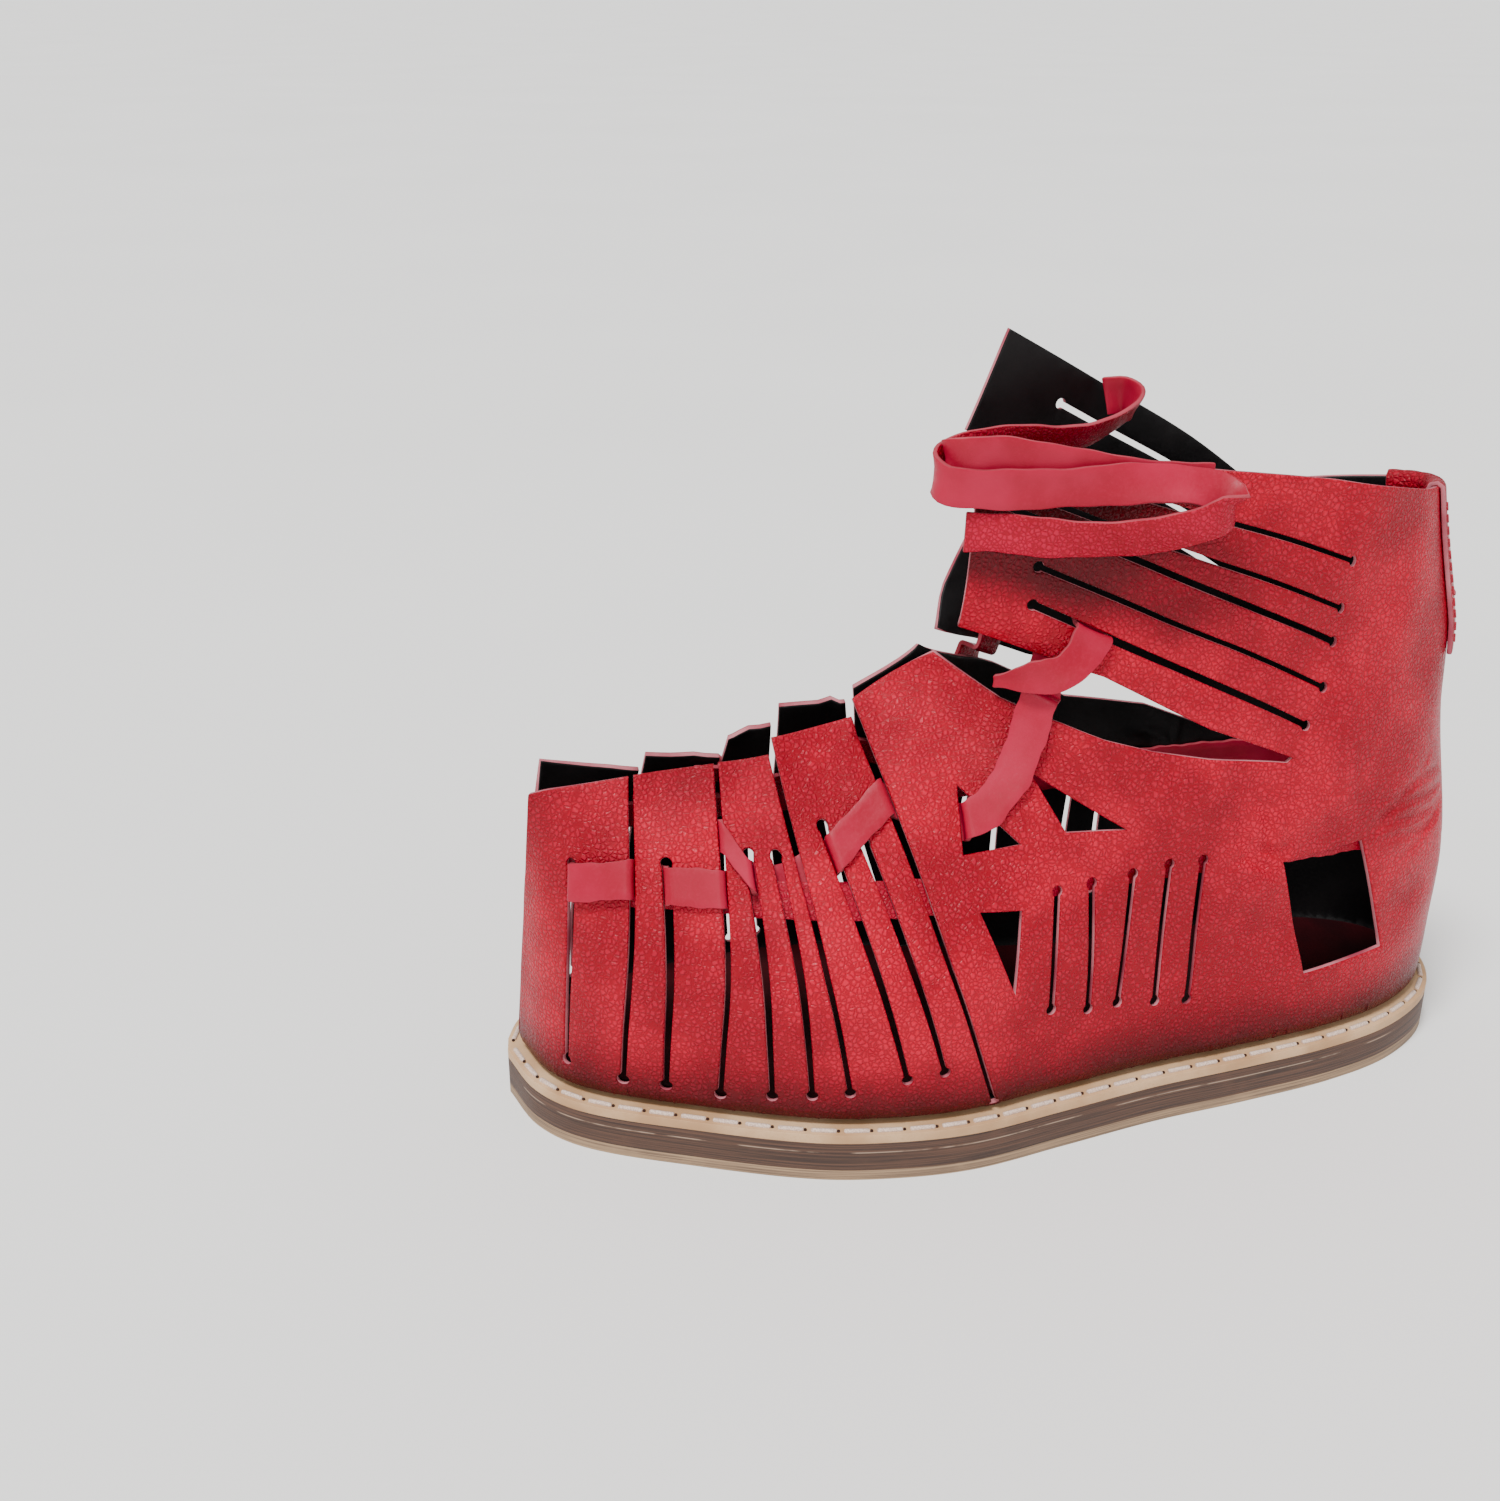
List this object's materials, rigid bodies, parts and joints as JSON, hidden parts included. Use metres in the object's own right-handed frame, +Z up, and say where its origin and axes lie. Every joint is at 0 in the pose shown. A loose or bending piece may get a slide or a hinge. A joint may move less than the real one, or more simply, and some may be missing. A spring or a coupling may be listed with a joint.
{
  "type": "laced leather caliga sandal",
  "caption": "High laced open sandal: a slit and tabbed leather upper with an open toe and split ankle flaps on a stacked leather sole.",
  "frame": {"origin": "on the floor under the sole, in the middle of the shoe's length and near the middle of its width", "axes": "+Z up, toe towards -Y, outer side of the left foot towards +X"},
  "size_m": [0.1042, 0.2789, 0.2067],
  "materials": {
    "outsole_leather": "pale brown sole leather, matt, with a fine grain",
    "stacked_leather": "dark brown stacked leather edge with fine lying layers",
    "welt_leather": "undyed tan leather with a pale running stitch",
    "insole_leather": "smooth dark red leather",
    "upper_leather": "red grained leather with a soft sheen, near-black inner side and pale pink cut edges",
    "lace_leather": "red leather thong, pebbled grain on one side and smooth salmon flesh on the other"
  },
  "bodies": {
    "root": {"outsole": "outsole_leather", "midsole": "stacked_leather", "welt": "welt_leather", "insole": "insole_leather", "upper": "upper_leather", "back_stay": "upper_leather", "main_lace": "lace_leather", "cross_lace_outer": "lace_leather", "cross_lace_inner": "lace_leather", "ankle_lace": "lace_leather", "bow_lace": "lace_leather", "band_lace": "lace_leather"}
  },
  "joints": []
}
